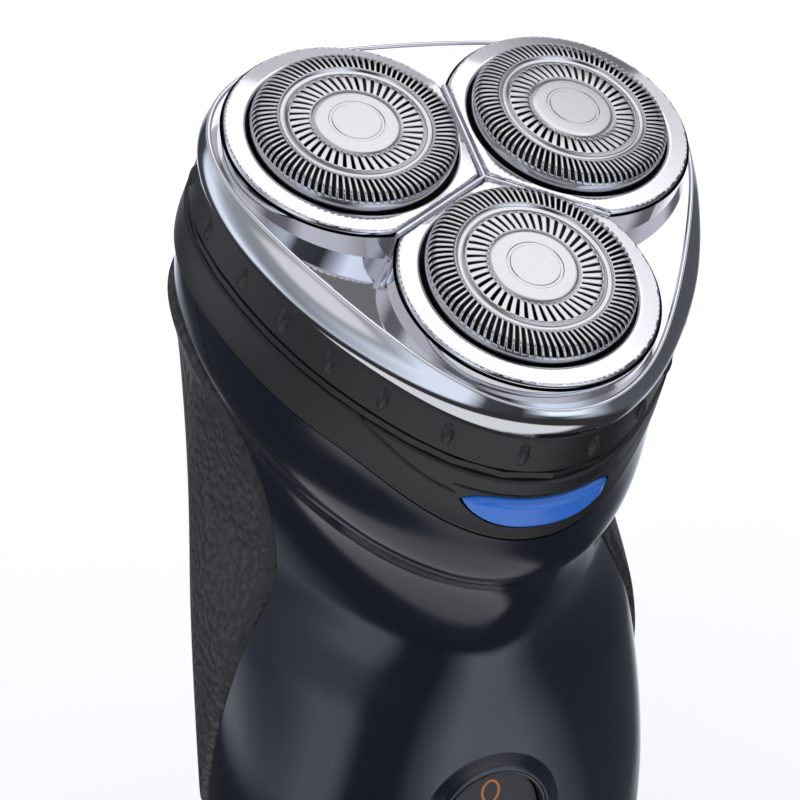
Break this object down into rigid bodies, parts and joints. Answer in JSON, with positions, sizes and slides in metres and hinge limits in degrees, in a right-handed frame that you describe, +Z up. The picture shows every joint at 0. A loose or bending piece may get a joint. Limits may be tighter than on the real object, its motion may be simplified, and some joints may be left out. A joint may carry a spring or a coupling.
{
  "type": "electric shaver",
  "caption": "Upright cordless rotary shaver with floating round cutters in a chromed flip-up head, leather-grained side grips, a release button, a slide switch and a pop-up trimmer.",
  "frame": {"origin": "centre line of the flat base that the shaver stands on", "axes": "+Z up the handle, -Y to the front with the switch and the release button, +X to the right when the front is looked at"},
  "size_m": [0.0658, 0.0656, 0.1618],
  "materials": {
    "navy": "moulded, high gloss",
    "black": "moulded, satin",
    "rubber": "moulded with a leather grain",
    "chrome": "plated on plastic, mirror",
    "steel": "ground and polished",
    "blue": "moulded, gloss",
    "grey": "moulded, satin",
    "white": "moulded acetal",
    "board": "solder lacquer",
    "brass": "turned",
    "sleeve": "shrunk-on sleeve",
    "lens": "clear, moulded"
  },
  "bodies": {
    "handle": {"front_shell": "navy", "rear_shell": "navy", "grip_left": "rubber", "grip_right": "rubber", "neck_collar": "black", "hair_chamber": "black", "gear_plate": "white", "motor_can": "steel", "motor_end_cap": "black", "chassis": "black", "battery_cell_left": "sleeve", "battery_cell_right": "sleeve", "battery_bridge": "steel", "circuit_board": "board", "transformer": "sleeve", "capacitor": "sleeve", "slide_switch": "steel", "inlet_socket": "black", "inlet_pin_left": "brass", "inlet_pin_right": "brass", "switch_plate": "grey", "charge_lens": "lens", "case_screw_left": "steel", "case_screw_right": "steel", "case_screw_top": "steel", "button_spring": "steel", "hinge_pin": "steel"},
    "slider": {"power_slider": "grey"},
    "button": {"release_button": "blue"},
    "rotor": {"motor_shaft": "steel", "motor_pinion": "brass"},
    "gear_f": {"drive_gear_front": "white", "spindle_spring_front": "steel"},
    "gear_r": {"drive_gear_right": "white", "spindle_spring_right": "steel"},
    "gear_l": {"drive_gear_left": "white", "spindle_spring_left": "steel"},
    "driver_f": {"spindle_front": "white"},
    "driver_r": {"spindle_right": "white"},
    "driver_l": {"spindle_left": "white"},
    "head": {"head_frame": "chrome", "head_collar": "black", "cutter_retainer": "black"},
    "lobe_f": {"pod_front": "chrome"},
    "lobe_r": {"pod_right": "chrome"},
    "lobe_l": {"pod_left": "chrome"},
    "foil_f": {"guard_front": "steel"},
    "foil_r": {"guard_right": "steel"},
    "foil_l": {"guard_left": "steel"},
    "cutter_f": {"cutter_blade_front": "steel", "cutter_hub_front": "white"},
    "cutter_r": {"cutter_blade_right": "steel", "cutter_hub_right": "white"},
    "cutter_l": {"cutter_blade_left": "steel", "cutter_hub_left": "white"},
    "trimmer": {"trimmer_arm": "navy", "trimmer_comb": "steel"},
    "trimmer_cutter": {"trimmer_blade": "steel"},
    "catch": {"trimmer_catch": "grey"}
  },
  "joints": [
    {"name": "head_open", "type": "hinge", "parent": "handle", "child": "head", "pos_m": [0, 0.02368, 0.15453], "axis": [-1, 0, 0], "range_deg": [0, 100]},
    {"name": "button_press", "type": "slide", "parent": "handle", "child": "button", "axis": [0, 0.866, 0.5], "range_m": [0, 0.001], "stiffness_N_per_m": 600, "springref_m": -0.001, "deforming": ["button_spring"]},
    {"name": "power_slide", "type": "slide", "parent": "handle", "child": "slider", "axis": [0, 0, 1], "range_m": [0, 0.006]},
    {"name": "motor_spin", "type": "hinge", "parent": "handle", "child": "rotor", "pos_m": [0, -0.011, 0.152], "axis": [0, -0.5, 0.866], "continuous": true},
    {"name": "gear_spin_f", "type": "hinge", "parent": "handle", "child": "gear_f", "pos_m": [0, -0.02506, 0.14388], "axis": [0, -0.5, 0.866], "continuous": true},
    {"name": "gear_spin_r", "type": "hinge", "parent": "handle", "child": "gear_r", "pos_m": [0.01406, -0.00397, 0.15606], "axis": [0, -0.5, 0.866], "continuous": true},
    {"name": "gear_spin_l", "type": "hinge", "parent": "handle", "child": "gear_l", "pos_m": [-0.01406, -0.00397, 0.15606], "axis": [0, -0.5, 0.866], "continuous": true},
    {"name": "spindle_float_f", "type": "slide", "parent": "gear_f", "child": "driver_f", "axis": [0, 0.5, -0.866], "range_m": [0, 0.0012], "deforming": ["spindle_spring_front"]},
    {"name": "spindle_float_r", "type": "slide", "parent": "gear_r", "child": "driver_r", "axis": [0, 0.5, -0.866], "range_m": [0, 0.0012], "deforming": ["spindle_spring_right"]},
    {"name": "spindle_float_l", "type": "slide", "parent": "gear_l", "child": "driver_l", "axis": [0, 0.5, -0.866], "range_m": [0, 0.0012], "deforming": ["spindle_spring_left"]},
    {"name": "lobe_tilt_f", "type": "hinge", "parent": "head", "child": "lobe_f", "pos_m": [0, -0.02306, 0.14042], "axis": [-1, 0, 0], "range_deg": [0, 3], "stiffness_Nm_per_rad": 0.2},
    {"name": "lobe_tilt_r", "type": "hinge", "parent": "head", "child": "lobe_r", "pos_m": [0.01406, -0.00197, 0.1526], "axis": [0.5, -0.75, -0.433], "range_deg": [0, 3], "stiffness_Nm_per_rad": 0.2},
    {"name": "lobe_tilt_l", "type": "hinge", "parent": "head", "child": "lobe_l", "pos_m": [-0.01406, -0.00197, 0.1526], "axis": [0.5, 0.75, 0.433], "range_deg": [0, 3], "stiffness_Nm_per_rad": 0.2},
    {"name": "foil_press_f", "type": "slide", "parent": "lobe_f", "child": "foil_f", "axis": [0, 0.5, -0.866], "range_m": [0, 0.0012], "stiffness_N_per_m": 500, "springref_m": -0.001},
    {"name": "foil_press_r", "type": "slide", "parent": "lobe_r", "child": "foil_r", "axis": [0, 0.5, -0.866], "range_m": [0, 0.0012], "stiffness_N_per_m": 500, "springref_m": -0.001},
    {"name": "foil_press_l", "type": "slide", "parent": "lobe_l", "child": "foil_l", "axis": [0, 0.5, -0.866], "range_m": [0, 0.0012], "stiffness_N_per_m": 500, "springref_m": -0.001},
    {"name": "cutter_spin_f", "type": "hinge", "parent": "foil_f", "child": "cutter_f", "pos_m": [0, -0.02506, 0.14388], "axis": [0, -0.5, 0.866], "continuous": true},
    {"name": "cutter_spin_r", "type": "hinge", "parent": "foil_r", "child": "cutter_r", "pos_m": [0.01406, -0.00397, 0.15606], "axis": [0, -0.5, 0.866], "continuous": true},
    {"name": "cutter_spin_l", "type": "hinge", "parent": "foil_l", "child": "cutter_l", "pos_m": [-0.01406, -0.00397, 0.15606], "axis": [0, -0.5, 0.866], "continuous": true},
    {"name": "trimmer_open", "type": "hinge", "parent": "handle", "child": "trimmer", "pos_m": [0, 0.0224, 0.101], "axis": [-1, 0, 0], "range_deg": [0, 70]},
    {"name": "trimmer_stroke", "type": "slide", "parent": "trimmer", "child": "trimmer_cutter", "axis": [1, 0, 0], "range_m": [-0.001, 0.001]},
    {"name": "catch_slide", "type": "slide", "parent": "handle", "child": "catch", "axis": [0, 0, 1], "range_m": [0, 0.002], "stiffness_N_per_m": 150, "springref_m": -0.001}
  ],
  "couplings": [
    {"joint": "gear_spin_f", "follows": "motor_spin", "ratio": -0.33333},
    {"joint": "gear_spin_r", "follows": "motor_spin", "ratio": -0.33333},
    {"joint": "gear_spin_l", "follows": "motor_spin", "ratio": -0.33333},
    {"joint": "cutter_spin_f", "follows": "motor_spin", "ratio": -0.33333},
    {"joint": "cutter_spin_r", "follows": "motor_spin", "ratio": -0.33333},
    {"joint": "cutter_spin_l", "follows": "motor_spin", "ratio": -0.33333},
    {"joint": "spindle_float_f", "follows": "foil_press_f", "ratio": 1},
    {"joint": "spindle_float_r", "follows": "foil_press_r", "ratio": 1},
    {"joint": "spindle_float_l", "follows": "foil_press_l", "ratio": 1}
  ]
}
